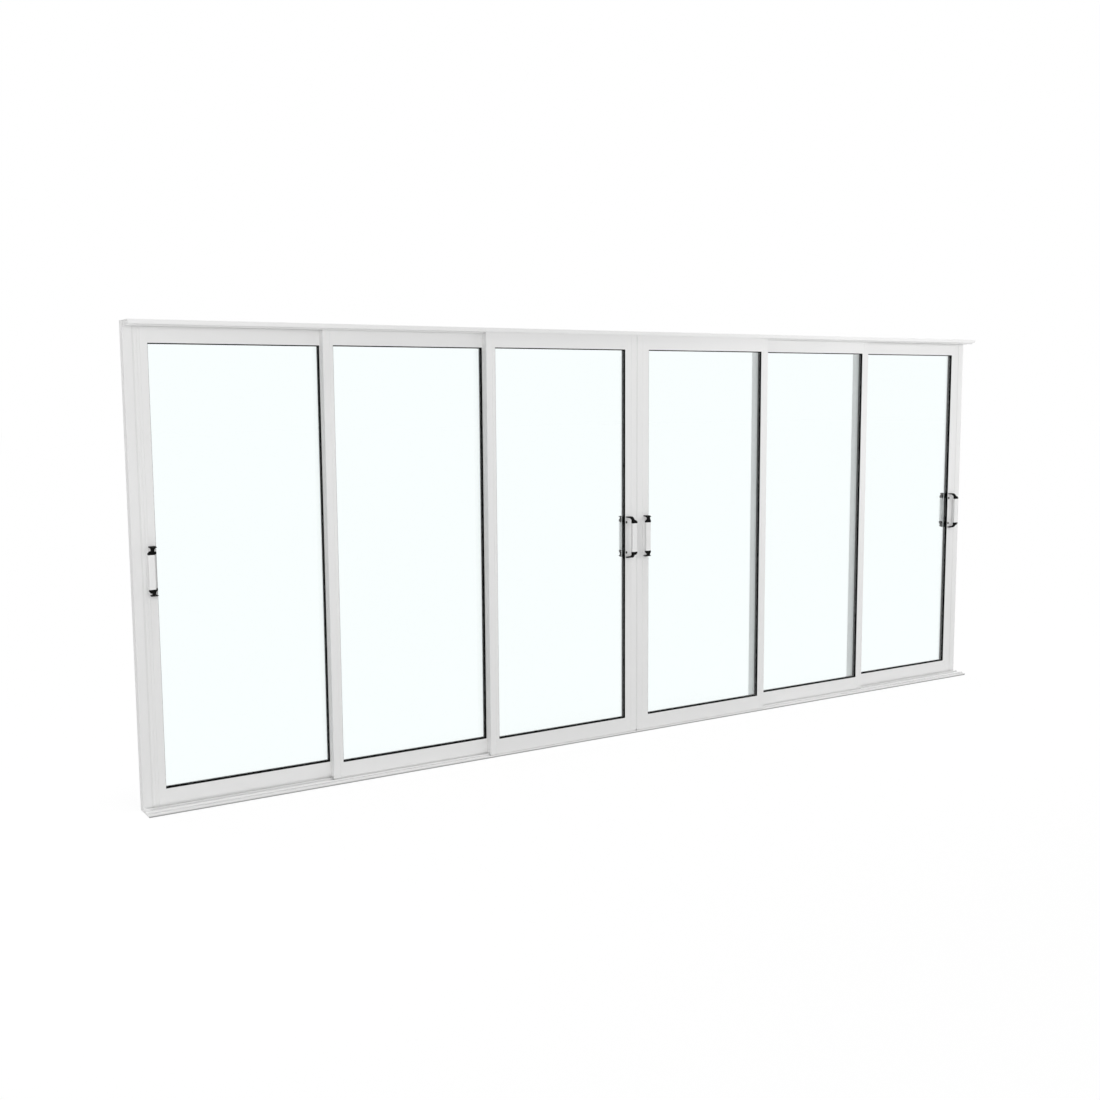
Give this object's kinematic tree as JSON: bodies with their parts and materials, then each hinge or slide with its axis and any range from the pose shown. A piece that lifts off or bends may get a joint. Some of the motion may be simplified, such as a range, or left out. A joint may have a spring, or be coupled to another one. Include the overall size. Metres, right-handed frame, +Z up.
{
  "type": "glass sliding patio door",
  "caption": "Wide white patio door: glazed panels slide in parallel tracks between a head and a sill and meet in the middle; pull handles on the closing stiles.",
  "frame": {"origin": "middle of the sill's underside: middle of the width, middle of the frame's depth, at floor level", "axes": "+X along the wall to the right as seen from the side with the meeting panels in front, +Y away from that side, +Z up"},
  "size_m": [5.127, 0.2136, 2.1],
  "materials": {
    "frame_coat": "satin white powder coat",
    "rail_metal": "satin anodised",
    "clear_glass": "clear float glass",
    "black_seal": "matt black rubber",
    "roller_plastic": "dark nylon",
    "black_plastic": "satin black"
  },
  "bodies": {
    "frame": {"head": "frame_coat", "head_lips": "frame_coat", "head_guides": "frame_coat", "sill": "frame_coat", "track_rails": "rail_metal", "left_jamb": "frame_coat", "right_jamb": "frame_coat"},
    "panel_1": {"panel_1_stiles": "frame_coat", "panel_1_rails": "frame_coat", "panel_1_glass": "clear_glass", "panel_1_seals": "black_seal", "panel_1_rollers": "roller_plastic", "panel_1_grips": "frame_coat", "panel_1_brackets": "black_plastic"},
    "panel_2": {"panel_2_stiles": "frame_coat", "panel_2_rails": "frame_coat", "panel_2_glass": "clear_glass", "panel_2_seals": "black_seal", "panel_2_rollers": "roller_plastic"},
    "panel_3": {"panel_3_stiles": "frame_coat", "panel_3_rails": "frame_coat", "panel_3_glass": "clear_glass", "panel_3_seals": "black_seal", "panel_3_rollers": "roller_plastic", "panel_3_grips": "frame_coat", "panel_3_brackets": "black_plastic"},
    "panel_4": {"panel_4_stiles": "frame_coat", "panel_4_rails": "frame_coat", "panel_4_glass": "clear_glass", "panel_4_seals": "black_seal", "panel_4_rollers": "roller_plastic", "panel_4_grips": "frame_coat", "panel_4_brackets": "black_plastic"},
    "panel_5": {"panel_5_stiles": "frame_coat", "panel_5_rails": "frame_coat", "panel_5_glass": "clear_glass", "panel_5_seals": "black_seal", "panel_5_rollers": "roller_plastic"},
    "panel_6": {"panel_6_stiles": "frame_coat", "panel_6_rails": "frame_coat", "panel_6_glass": "clear_glass", "panel_6_seals": "black_seal", "panel_6_rollers": "roller_plastic", "panel_6_grips": "frame_coat", "panel_6_brackets": "black_plastic"}
  },
  "joints": [
    {"name": "panel_1_slide", "type": "slide", "parent": "frame", "child": "panel_1", "axis": [1, 0, 0], "range_m": [0, 0.755]},
    {"name": "panel_2_slide", "type": "slide", "parent": "frame", "child": "panel_2", "axis": [1, 0, 0], "range_m": [-0.755, 0.755]},
    {"name": "panel_3_slide", "type": "slide", "parent": "frame", "child": "panel_3", "axis": [1, 0, 0], "range_m": [-0.755, 0]},
    {"name": "panel_4_slide", "type": "slide", "parent": "frame", "child": "panel_4", "axis": [1, 0, 0], "range_m": [0, 0.755]},
    {"name": "panel_5_slide", "type": "slide", "parent": "frame", "child": "panel_5", "axis": [1, 0, 0], "range_m": [-0.755, 0.755]},
    {"name": "panel_6_slide", "type": "slide", "parent": "frame", "child": "panel_6", "axis": [1, 0, 0], "range_m": [-0.755, 0]}
  ]
}
